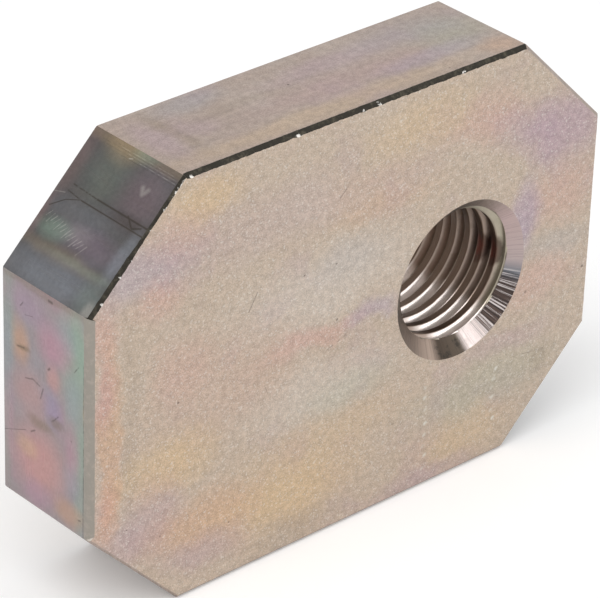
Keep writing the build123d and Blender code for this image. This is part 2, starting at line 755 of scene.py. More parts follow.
@dataclass(frozen=True)
class ThreadFinish(Finish):
    """Bare flanks with a painted highlight along the lower far side, painted shade on the crests and in
    the roots, a first turn painted lighter at the mouth, and two rust spots.
    """

    name: str = "bare_thread"
    # lit is a painted highlight, crest and groove are painted shade, and mouth is the first turn painted
    # lighter where light comes in.
    lit: Colour = linear(236, 226, 220)
    flank: Colour = linear(172, 154, 142)
    crest: Colour = linear(88, 70, 58)
    groove: Colour = linear(112, 96, 84)
    mouth: Colour = linear(188, 180, 162)
    rust_rim: Colour = linear(62, 36, 26)
    rust_core: Colour = linear(96, 38, 26)
    lit_turn: Point2 = (-1.72, -0.9)
    mouth_depth: Point2 = (-4.1, -4.7)
    crest_edge: Point2 = (7.18, 7.29)
    groove_edge: Point2 = (7.5, 7.95)
    rust_spots: tuple[Point3, ...] = ((7.2, -3.7, 0.1), (7.2, -1.7, -0.3))
    rust_half: Point3 = (1.8, 1.15, 2.2)
    roughness: float = 0.3
    metallic: float = 0.82
    relief: float = 0.003
    stain: Colour = linear(96, 82, 70)
    tool_mark: Colour = linear(120, 108, 98)

    def look(self, bench: Bench, effects: Effects, place: Socket) -> Look:
        """Paints highlight and shade from the distance to the hole's axis and the angle round it, then
        lays stains, rust and tool marks.
        """
        radius = bench.vector("LENGTH", bench.vector("MULTIPLY", place, (1.0, 0.0, 1.0)))
        parts = bench.node("ShaderNodeSeparateXYZ")
        bench.feed(parts.inputs[0], place)
        blotch = bench.noise(place, 0.45, 4.0, 0.65).outputs["Fac"]
        angle = bench.math("ARCTAN2", parts.outputs["Z"], parts.outputs["X"])
        angle = bench.math("MULTIPLY_ADD", blotch, 0.3, bench.math("SUBTRACT", angle, 0.15))
        # Painted highlight over the angles of lit_turn, blurred by the blotch noise.
        first, last = self.lit_turn
        rising = bench.ease(angle, first - 0.16, first + 0.12)
        lit = bench.times(rising, bench.ease(angle, last + 0.16, last - 0.1))
        rise = bench.ease(bench.math("MULTIPLY_ADD", blotch, 0.1, radius), *self.crest_edge)
        sunk = bench.ease(radius, *self.groove_edge)
        near = bench.ease(parts.outputs["Y"], *self.mouth_depth)
        # Painted shade in the roots, less where the painted highlight or the mouth is.
        root_shade = bench.math("MULTIPLY_ADD", bench.math("MAXIMUM", lit, near), -0.5, 0.5)
        # The first turn painted lighter near the mouth, where light comes in.
        colour = bench.mix(near, self.flank, self.mouth)
        colour = bench.mix(lit, colour, self.lit)
        colour = bench.mix(bench.times(sunk, root_shade), colour, self.groove)
        # Painted dark crests, standing for the dark inside of the hole that they reflect, except near the
        # mouth.
        colour = bench.mix(bench.math("MAXIMUM", rise, near), self.crest, colour)
        stained = bench.times(bench.ease(blotch, 0.54, 0.7), 0.25)
        colour = bench.mix(stained, colour, self.stain)
        for spot in self.rust_spots:
            away = bench.vector("DIVIDE", bench.vector("SUBTRACT", place, spot), self.rust_half)
            reach = bench.math("MULTIPLY_ADD", blotch, 0.6, bench.vector("LENGTH", away))
            rim = bench.times(bench.ease(reach, 1.4, 1.1), 0.75)
            core = bench.times(bench.ease(reach, 1.05, 0.6), 0.55)
            colour = bench.mix(core, bench.mix(rim, colour, self.rust_rim), self.rust_core)
        streaks = bench.group(effects.streaks, Plane=place, Stretch=(0.3, 3.0, 0.3)).outputs
        tone = bench.times(bench.ease(streaks["Streak"], 0.45, 0.7), 0.15)
        colour = bench.mix(tone, colour, self.tool_mark)
        rough = bench.math("MULTIPLY_ADD", streaks["Drift"], 0.12, self.roughness - 0.05)
        return Look(colour, rough, streaks["Streak"])


FRONT_PATCHES = (
    Patch((-45.7, -2.0), (1.5, 10.5), Film.AMBER, 0.40, 0.35),
    Patch((-46.4, 10.2), (1.8, 3.2), Film.ROSE, 0.36),
    # Painted shadow: a faint dark line along the roll groove that the mesh presses in near X -43.
    Patch((-43.0, -3.0), (0.8, 13.0), Film.UMBER, 0.16, 0.5),
    Patch((-46.2, 3.6), (1.2, 3.0), Film.PINK, 0.36),
    Patch((-46.2, -9.0), (1.2, 3.0), Film.ROSE, 0.34),
    Patch((-44.6, -14.0), (2.6, 2.4), Film.MAUVE, 0.30),
    Patch((-42.0, 15.4), (5.5, 2.6), Film.VIOLET, 0.34),
    Patch((-40.0, 11.5), (2.6, 2.2), Film.ROSE, 0.34),
    Patch((-37.5, 18.2), (3.2, 2.6), Film.ROSE, 0.24),
    Patch((-34.5, 21.4), (4.5, 2.0), Film.STRAW, 0.46),
    Patch((-37.0, 3.6), (3.4, 3.2), Film.ROSE, 0.18),
    Patch((-31.0, 0.0), (9.0, 5.0), Film.ROSE, 0.14),
    Patch((-38.5, -6.8), (5.0, 3.0), Film.STRAW, 0.50),
    Patch((-34.5, -14.6), (6.5, 2.6), Film.AMBER, 0.40),
    Patch((-40.5, -12.0), (3.2, 4.5), Film.MAUVE, 0.34),
    Patch((-33.5, -18.4), (5.0, 2.0), Film.MAUVE, 0.34),
    Patch((-23.0, -16.4), (8.0, 3.2), Film.STRAW, 0.52),
    Patch((-19.0, -11.5), (9.0, 2.6), Film.STRAW, 0.26),
    Patch((-22.5, -20.8), (4.0, 1.4), Film.UMBER, 0.22),
    Patch((-18.5, 6.4), (9.5, 3.6), Film.PALE, 0.48),
    Patch((-15.5, 7.8), (4.0, 2.0), Film.STEEL, 0.20),
    Patch((-19.5, 0.8), (6.0, 1.1), Film.ROSE, 0.36),
    Patch((-12.0, 0.9), (2.8, 1.2), Film.VIOLET, 0.34),
    Patch((-19.0, -5.6), (8.5, 3.0), Film.PALE, 0.42),
    Patch((-15.0, -7.0), (5.0, 2.0), Film.SEA, 0.18),
    Patch((-26.5, 16.0), (9.0, 3.2), Film.MAUVE, 0.16),
    Patch((-13.0, 15.2), (7.0, 2.2), Film.ROSE, 0.12),
    Patch((-6.5, 20.2), (6.5, 2.6), Film.STRAW, 0.32),
    Patch((2.5, 17.6), (5.0, 2.4), Film.ROSE, 0.30),
    Patch((-11.0, 12.6), (6.0, 1.4), Film.AMBER, 0.18),
    Patch((14.0, 12.8), (5.0, 3.6), Film.MAUVE, 0.58),
    Patch((8.0, 15.6), (4.0, 2.4), Film.MAUVE, 0.34),
    Patch((13.0, 5.6), (5.0, 3.0), Film.ROSE, 0.30),
    Patch((8.6, 4.0), (1.8, 4.0), Film.VIOLET, 0.44),
    Patch((13.8, -0.2), (4.5, 1.4), Film.STEEL, 0.24),
    Patch((11.5, -4.0), (4.5, 2.4), Film.ROSE, 0.30),
    Patch((6.5, -9.6), (6.0, 1.2), Film.MAUVE, 0.24),
    Patch((4.0, -13.6), (9.0, 2.8), Film.SEA, 0.24),
    Patch((1.0, -18.8), (6.0, 2.4), Film.STRAW, 0.30),
    Patch((-5.0, -21.8), (7.0, 1.2), Film.MAUVE, 0.26),
    Patch((12.2, -13.0), (1.6, 1.6), Film.UMBER, 0.24),
)


def dimple_spots(columns: tuple[tuple[float, float, float, int], ...]) -> tuple[Point2, ...]:
    """Scatters small dimples down straight columns of the front face.

    Args:
        columns: each column's place along X, its upper and lower Z, and how many dimples it has.

    Returns:
        The dimples' centres.
    """
    scatter = random.Random(7)
    spots = []
    for x, top, bottom, count in columns:
        for k in range(count):
            z = top + (bottom - top) * k / (count - 1) + scatter.uniform(-0.3, 0.3)
            spots.append((x + scatter.uniform(-0.25, 0.25), z))
    return tuple(spots)


DIMPLES = dimple_spots(((-4.1, -11.0, -20.6, 8), (5.6, -12.6, -18.4, 6)))

# Painted highlights: a bright dot on each dimple, where its hollow would catch the light.
FRONT_GLINTS = tuple(
    Line((x - 0.06, z - 0.04), (x + 0.08, z + 0.06), 0.31, 0.0, 0.35 + 0.16 * (3 * k % 5))
    for k, (x, z) in enumerate(DIMPLES)
)

FRONT_SCRATCHES = (
    Line((-24.0, 5.0), (-18.6, 0.2), 0.07, 0.75),
    Line((-27.6, 8.4), (-28.6, 6.6), 0.13, 0.25),
    Line((-17.2, 15.2), (-16.4, 15.9), 0.12, 0.2),
    Line((-18.6, -1.6), (-15.8, -0.6), 0.16, 0.55),
    Line((-22.6, -9.8), (-10.4, -8.6), 0.07, 0.85),
    Line((-26.4, -2.4), (-25.6, -4.2), 0.08, 0.6),
    Line((-30.6, -3.2), (-30.0, -5.0), 0.08, 0.6),
    Line((9.4, -12.2), (12.6, -12.6), 0.10, 0.55),
)

TOP_PATCHES = (
    Patch((-32.2, 1.0), (0.9, 4.4), Film.UMBER, 0.42),
    Patch((-34.4, 0.4), (1.5, 3.6), Film.MAUVE, 0.28),
    Patch((-27.0, 4.8), (4.0, 1.5), Film.STEEL, 0.36),
    Patch((-30.0, 0.6), (2.4, 1.6), Film.MAUVE, 0.20),
    Patch((-24.5, 1.6), (5.0, 0.7), Film.UMBER, 0.22),
    Patch((-10.0, 2.8), (8.0, 1.5), Film.MAUVE, 0.26),
    Patch((-12.0, -1.0), (11.0, 1.8), Film.PINK, 0.14),
    Patch((3.6, 0.4), (4.0, 3.0), Film.SEA, 0.26),
    Patch((0.0, 3.4), (6.0, 2.0), Film.STEEL, 0.24),
    Patch((-1.6, -2.2), (6.0, 1.2), Film.VIOLET, 0.22),
    Patch((-18.0, -4.6), (18.0, 1.2), Film.STRAW, 0.26),
    Patch((5.6, -4.6), (2.2, 1.4), Film.AMBER, 0.26),
)

CROPPED_PATCHES = (
    Patch((0.3, 0.0), (0.75, 9.0), Film.UMBER, 0.70, 0.5),
    Patch((0.2, 1.6), (1.6, 2.4), Film.STRAW, 0.26),
    Patch((0.2, -1.2), (0.8, 1.6), Film.SEA, 0.34),
    Patch((3.6, 6.2), (3.8, 1.3), Film.ROSE, 0.12),
    Patch((3.6, 1.6), (2.6, 2.6), Film.SEA, 0.14),
    Patch((3.8, -3.9), (2.6, 2.6), Film.PINK, 0.13),
    # Painted shade in the hollow of the gouge that the mesh presses into this face.
    Patch((6.4, -4.2), (0.7, 2.4), Film.DARK_TONE, 0.65),
    Patch((8.2, 1.4), (1.2, 4.0), Film.STEEL, 0.20),
    Patch((10.2, -1.2), (1.3, 3.8), Film.MAUVE, 0.22),
    Patch((10.0, 0.4), (0.9, 1.6), Film.SILVER, 0.10),
    Patch((9.6, -5.6), (2.6, 0.8), Film.STEEL, 0.42),
    Patch((10.4, 3.4), (1.0, 2.0), Film.SEA, 0.40),
    Patch((9.8, 6.4), (2.0, 0.8), Film.ROSE, 0.16),
    Patch((12.3, -1.8), (0.4, 4.6), Film.SEA, 0.16),
    Patch((12.3, 1.2), (0.7, 5.6), Film.STRAW, 0.14),
    Patch((14.6, 0.8), (1.8, 6.4), Film.STEEL, 0.40),
    Patch((14.4, -5.2), (2.0, 1.6), Film.SEA, 0.16),
    Patch((15.6, -6.0), (1.0, 0.7), Film.PALE, 0.36),
)

CROPPED_DARK = (
    # The lines from 5.9 to 8.7 along follow the gouge's two grooves: their dark is painted shade in them.
    Line((6.05, -6.4), (6.0, 1.0), 0.17, 0.2),
    Line((6.0, 1.0), (5.85, 4.6), 0.12, 0.5),
    Line((6.92, -6.4), (6.85, 2.6), 0.13, 0.15),
    Line((6.85, 2.6), (6.62, 4.8), 0.10, 0.4),
    Line((6.9, 2.9), (7.5, 4.4), 0.09, 0.1),
    Line((7.5, 4.4), (8.7, 5.8), 0.10, 0.2),
    Line((6.3, -5.6), (6.75, -4.6), 0.16, 0.1),
    Line((6.75, -4.6), (5.9, -3.4), 0.16, 0.1),
    Line((1.32, -6.4), (1.28, 2.0), 0.07, 0.5, 0.5),
    Line((1.02, -6.4), (1.0, 4.0), 0.06, 0.5, 0.45),
    Line((0.72, -6.4), (0.7, 5.0), 0.06, 0.5, 0.45),
    Line((0.44, -6.4), (0.42, 3.0), 0.06, 0.6, 0.4),
)

CROPPED_BRIGHT = (
    Line((2.9, -3.75), (3.5, -3.38), 0.44, 0.0, 0.45),
    Line((2.9, -3.0), (3.5, -3.38), 0.44, 0.0, 0.45),
    Line((1.16, -6.4), (1.12, -1.0), 0.05, 0.55, 0.7),
    Line((0.86, -6.0), (0.84, 1.0), 0.05, 0.6, 0.6),
    Line((0.58, -5.4), (0.56, 2.0), 0.05, 0.6, 0.6),
    Line((1.05, 0.1), (1.2, 0.5), 0.10, 0.1, 0.8),
    Line((6.95, 5.0), (7.3, 6.3), 0.08, 0.4, 0.5),
    *(
        Line(
            (9.0 + 0.1 * k, 5.0 - 0.48 * k),
            (9.7 + 0.11 * k + 0.4 * (k % 3 == 1), 5.4 - 0.46 * k),
            0.05,
            0.45,
        )
        for k in range(14)
    ),
)

END_PATCHES = (
    Patch((7.6, -4.4), (5.4, 2.2), Film.SEA, 0.62),
    Patch((1.4, -5.0), (5.0, 1.5), Film.SEA, 0.5),
    Patch((-6.0, -5.4), (6.0, 1.1), Film.SEA, 0.5),
    Patch((8.0, 5.6), (5.0, 1.0), Film.SEA, 0.45),
    Patch((-4.0, 6.0), (6.0, 0.7), Film.SEA, 0.40),
    Patch((12.5, 0.0), (0.5, 8.0), Film.UMBER, 0.45, 0.5),
    Patch((9.4, -5.1), (2.9, 1.1), Film.SEA, 0.60),
    Patch((9.4, -3.0), (1.6, 1.6), Film.STEEL, 0.50),
    Patch((7.6, -1.4), (2.2, 2.2), Film.PINK, 0.72),
    Patch((10.2, 2.6), (1.6, 2.8), Film.MAUVE, 0.50),
    Patch((5.8, 3.8), (2.0, 1.1), Film.AMBER, 0.62),
    Patch((4.0, -1.3), (1.2, 0.9), Film.ROSE, 0.62),
    Patch((4.0, 5.7), (4.6, 0.8), Film.STEEL, 0.55),
    Patch((2.8, -4.2), (2.4, 1.2), Film.STEEL, 0.50),
    Patch((0.6, -1.0), (1.8, 1.4), Film.VIOLET, 0.46),
    Patch((0.6, 2.4), (2.4, 2.2), Film.ROSE, 0.42),
    Patch((-3.0, -4.0), (3.0, 0.9), Film.PINK, 0.52),
    Patch((-6.4, -3.7), (1.8, 1.2), Film.STEEL, 0.50),
    Patch((-6.4, 0.9), (3.6, 3.4), Film.ROSE, 0.8),
    Patch((-5.2, 2.8), (1.0, 1.4), Film.STRAW, 0.36),
    Patch((-3.0, 5.6), (3.6, 0.8), Film.PINK, 0.40),
    Patch((-10.0, -3.6), (1.2, 2.0), Film.AMBER, 0.50),
    Patch((-10.0, 1.2), (1.4, 2.2), Film.MAUVE, 0.42),
    Patch((1.0, -6.2), (9.5, 0.42), Film.STRAW, 0.50, 0.5),
    Patch((-0.6, -1.6), (0.6, 1.0), Film.UMBER, 0.70),
    Patch((-1.9, 0.8), (0.55, 1.6), Film.UMBER, 0.62),
    Patch((5.3, 3.4), (0.3, 0.9), Film.UMBER, 0.80),
)

END_DARK = (
    Line((7.5, -5.8), (-5.0, -5.75), 0.11, 0.5),
    Line((-5.0, -5.75), (-12.0, -5.7), 0.10, 0.4),
    Line((2.3, 0.8), (2.6, 2.0), 0.14, 0.2),
    Line((2.5, 2.0), (2.2, 3.0), 0.12, 0.4),
    Line((2.2, 0.3), (1.0, 0.7), 0.15, 0.4),
    Line((5.4, 3.2), (5.2, 4.2), 0.18, 0.4),
    Line((4.9, -0.7), (4.7, -0.5), 0.22, 0.1),
    Line((12.2, -1.1), (12.2, -0.6), 0.26, 0.1),
    Line((-3.6, 3.0), (-5.1, 6.4), 0.06, 0.1),
    Line((-3.0, 1.6), (-3.4, 2.2), 0.16, 0.3),
    Line((9.4, 1.8), (9.1, 3.0), 0.08, 0.5),
    Line((10.3, 3.3), (9.8, 3.7), 0.12, 0.4),
    Line((7.0, -5.0), (6.2, -4.4), 0.10, 0.4),
    Line((5.0, -5.9), (2.6, -5.9), 0.14, 0.4),
    Line((-4.0, -5.9), (-6.0, -5.8), 0.12, 0.4),
    Line((-9.8, -5.3), (-9.9, -5.0), 0.16, 0.1),
    Line((0.2, -2.0), (-0.8, -1.0), 0.14, 0.5),
)


# --------------------------------------------------------------------------------------------------
# Meshes
# --------------------------------------------------------------------------------------------------


@dataclass
class Shell:
    """Points, faces, skins and edge brightness that grow into one mesh, in millimetres."""

    points: list[np.ndarray] = field(default_factory=list)
    faces: list[tuple[int, ...]] = field(default_factory=list)
    skins: list[int] = field(default_factory=list)
    bright: list[np.ndarray] = field(default_factory=list)
    count: int = 0

    def add(
        self,
        points: np.ndarray,
        faces: list[tuple[int, ...]],
        skins: list[int],
        bright: np.ndarray | None = None,
    ) -> None:
        """Adds a part.

        Args:
            points: its points, one row each.
            faces: its faces, numbered from its own first point.
            skins: each face's skin number.
            bright: how knocked bright each point is, or None for not at all.
        """
        start = self.count
        self.points.append(points)
        self.faces += [tuple(start + i for i in face) for face in faces]
        self.skins += skins
        self.bright.append(np.zeros(len(points)) if bright is None else bright)
        self.count += len(points)

    def mesh(self, name: str) -> bpy.types.Mesh:
        """Makes the mesh in metres, welded, closed and with its faces outward.

        Args:
            name: the mesh's name.

        Returns:
            The new mesh.
        """
        mesh = bpy.data.meshes.new(name)
        mesh.from_pydata((np.concatenate(self.points) * MM).tolist(), [], self.faces)
        mesh.polygons.foreach_set("material_index", self.skins)
        layer = mesh.attributes.new("bright_edge", "FLOAT", "POINT")
        layer.data.foreach_set("value", np.concatenate(self.bright).astype(np.float32))
        work = bmesh.new()
        work.from_mesh(mesh)
        bmesh.ops.remove_doubles(work, verts=work.verts, dist=WELD * MM)
        bmesh.ops.dissolve_degenerate(work, edges=work.edges, dist=WELD / 4 * MM)
        bmesh.ops.recalc_face_normals(work, faces=work.faces)
        open_edges = sum(1 for edge in work.edges if len(edge.link_faces) != 2)
        counts = len(work.verts), len(work.faces), open_edges
        LOG.info("%s: %d points, %d faces, %d open edges", name, *counts)
        work.to_mesh(mesh)
        work.free()
        return mesh


@dataclass
class TappedHole:
    """The countersunk, tapped hole, made by a Geometry Nodes tree that sweeps the thread's section.

    The sheet of points follows the helix, so every crest and groove is one row of it. The front mouth
    is a countersink and the back one a light deburr; a slope is the drop in radius per depth.
    """

    half_thickness: float
    crest_radius: float = 7.1015
    groove_radius: float = 8.0
    pitch: float = 2.0
    crest_flat: float = 0.356
    flank_slope: float = 1.732
    blend: float = 0.09
    first_crest: float = 0.04
    mouth_radius: float = 8.8
    mouth_slope: float = 1.1918
    back_mouth_radius: float = 8.15
    back_mouth_slope: float = 4.2
    columns: int = 240
    rows_per_pitch: int = 20

    def build(self) -> bpy.types.Mesh:
        """Runs the tree and bakes its result.

        Returns:
            The hole's wall as a plain mesh, in millimetres.
        """
        carrier = bpy.data.objects.new("hole_carrier", bpy.data.meshes.new("hole_carrier"))
        bpy.context.scene.collection.objects.link(carrier)
        modifier = carrier.modifiers.new("thread", "NODES")
        turns = math.ceil(2 * self.half_thickness / self.pitch) + 1
        values = {
            "Columns": self.columns + 1,
            "Rows": turns * self.rows_per_pitch + 1,
            "Turns": float(turns),
            "Pitch": self.pitch,
            "Crest Radius": self.crest_radius,
            "Groove Radius": self.groove_radius,
            "Crest Flat": self.crest_flat,
            "Flank Slope": self.flank_slope,
            "Blend": self.blend,
            "First Crest": self.first_crest,
            "Mouth Radius": self.mouth_radius,
            "Mouth Slope": self.mouth_slope,
            "Back Mouth Radius": self.back_mouth_radius,
            "Back Mouth Slope": self.back_mouth_slope,
            "Half Thickness": self.half_thickness,
        }
        tree, sockets = self._tree(values)
        modifier.node_group = tree
        for name, value in values.items():
            modifier[sockets[name]] = value
        carrier.update_tag()
        bpy.context.view_layer.update()
        graph = bpy.context.evaluated_depsgraph_get()
        mesh = bpy.data.meshes.new_from_object(carrier.evaluated_get(graph))
        carrier.modifiers.remove(modifier)
        bpy.data.objects.remove(carrier)
        LOG.info("tapped hole: %d points, %d faces", len(mesh.vertices), len(mesh.polygons))
        return mesh

    @staticmethod
    def _tree(values: dict[str, int | float]) -> tuple[Tree, dict[str, str]]:
        """Builds the tree.

        Args:
            values: its inputs by name, whose kinds are those of the values.

        Returns:
            The tree and the identifier of each input by name.
        """
        tree = bpy.data.node_groups.new("Screw thread", "GeometryNodeTree")
        face = tree.interface
        sockets = {}
        for name, value in values.items():
            kind = "NodeSocketInt" if isinstance(value, int) else "NodeSocketFloat"
            sockets[name] = face.new_socket(name, in_out="INPUT", socket_type=kind).identifier
        face.new_socket("Geometry", in_out="OUTPUT", socket_type="NodeSocketGeometry")
        bench = Bench(tree)
        given = bench.node("NodeGroupInput").outputs
        grid = bench.node("GeometryNodeMeshGrid")
        bench.feed(grid.inputs["Size X"], 1.0)
        bench.feed(grid.inputs["Size Y"], 1.0)
        bench.feed(grid.inputs["Vertices X"], given["Columns"])
        bench.feed(grid.inputs["Vertices Y"], given["Rows"])
        flat = bench.node("ShaderNodeSeparateXYZ")
        bench.feed(flat.inputs[0], bench.node("GeometryNodeInputPosition").outputs[0])
        turn = bench.math("ADD", flat.outputs["X"], 0.5)
        along = bench.math("ADD", flat.outputs["Y"], 0.5)
        reach = bench.times(given["Turns"], given["Pitch"])
        row = bench.math("SUBTRACT", bench.times(along, reach), given["Half Thickness"])
        raw = bench.math("SUBTRACT", row, bench.times(turn, given["Pitch"]))
        low = bench.times(given["Half Thickness"], -1.0)
        depth = bench.math("MINIMUM", bench.math("MAXIMUM", raw, low), given["Half Thickness"])
        phase = bench.math("DIVIDE", bench.math("SUBTRACT", row, given["First Crest"]), given["Pitch"])
        half = bench.math("ADD", phase, 0.5)
        from_crest = bench.math("ABSOLUTE", bench.math("SUBTRACT", bench.math("FRACT", half), 0.5))
        from_crest = bench.times(from_crest, given["Pitch"])
        away = bench.math("SUBTRACT", from_crest, given["Crest Flat"])
        flank = bench.math("MULTIPLY_ADD", away, given["Flank Slope"], given["Crest Radius"])
        topped = bench.math("SMOOTH_MIN", flank, given["Groove Radius"], given["Blend"])
        thread = bench.math("SMOOTH_MAX", topped, given["Crest Radius"], given["Blend"])
        cones = []
        for sign, end in ((1.0, ""), (-1.0, "Back ")):
            inward = bench.math("MULTIPLY_ADD", depth, sign, given["Half Thickness"])
            drop = bench.times(inward, given[end + "Mouth Slope"])
            cones.append(bench.math("SUBTRACT", given[end + "Mouth Radius"], drop))
        radius = bench.math("MAXIMUM", bench.math("MAXIMUM", thread, cones[0]), cones[1])
        angle = bench.times(turn, 2 * math.pi)
        place = bench.node("ShaderNodeCombineXYZ")
        bench.feed(place.inputs[0], bench.times(radius, bench.math("COSINE", angle)))
        bench.feed(place.inputs[1], depth)
        bench.feed(place.inputs[2], bench.times(radius, bench.math("SINE", angle)))
        moved = bench.node("GeometryNodeSetPosition")
        bench.feed(moved.inputs["Geometry"], grid.outputs["Mesh"])
        bench.feed(moved.inputs["Position"], place.outputs[0])
        welded = bench.node("GeometryNodeMergeByDistance")
        bench.feed(welded.inputs["Geometry"], moved.outputs[0])
        bench.feed(welded.inputs["Distance"], WELD)
        real = bench.node("GeometryNodeRealizeInstances")
        bench.feed(real.inputs["Geometry"], welded.outputs[0])
        dressed = bench.node("GeometryNodeSetMaterial")
        bench.feed(dressed.inputs["Geometry"], real.outputs[0])
        bench.feed(bench.node("NodeGroupOutput").inputs[0], dressed.outputs[0])
        return tree, sockets

    def add_to(self, shell: Shell) -> None:
        """Adds the hole's wall to a shell, with the cones and the thread each in its own skin.

        Args:
            shell: the shell to grow.
        """
        mesh = self.build()
        points = np.zeros(len(mesh.vertices) * 3)
        mesh.vertices.foreach_get("co", points)
        points = points.reshape(-1, 3)
        faces = [tuple(polygon.vertices) for polygon in mesh.polygons]
        skins = []
        for corners in faces:
            middle = points[list(corners)].mean(axis=0)
            front = self.mouth_radius - (self.half_thickness + middle[1]) * self.mouth_slope
            back = self.back_mouth_radius - (self.half_thickness - middle[1]) * self.back_mouth_slope
            on_cone = math.hypot(middle[0], middle[2]) <= max(front, back) + 0.02
            skins.append((Skin.COUNTERSINK if on_cone else Skin.THREAD).value)
        shell.add(points, faces, skins)
        bpy.data.meshes.remove(mesh)


@dataclass(frozen=True)
class Knock:
    """A spot on an edge that has been knocked or burred, painted bright as bare metal with a highlight, at
    a distance along its side.
    """

    side: Side
    at: float
    half_length: float
    brightness: float = 1.0
    dent: float = 0.07


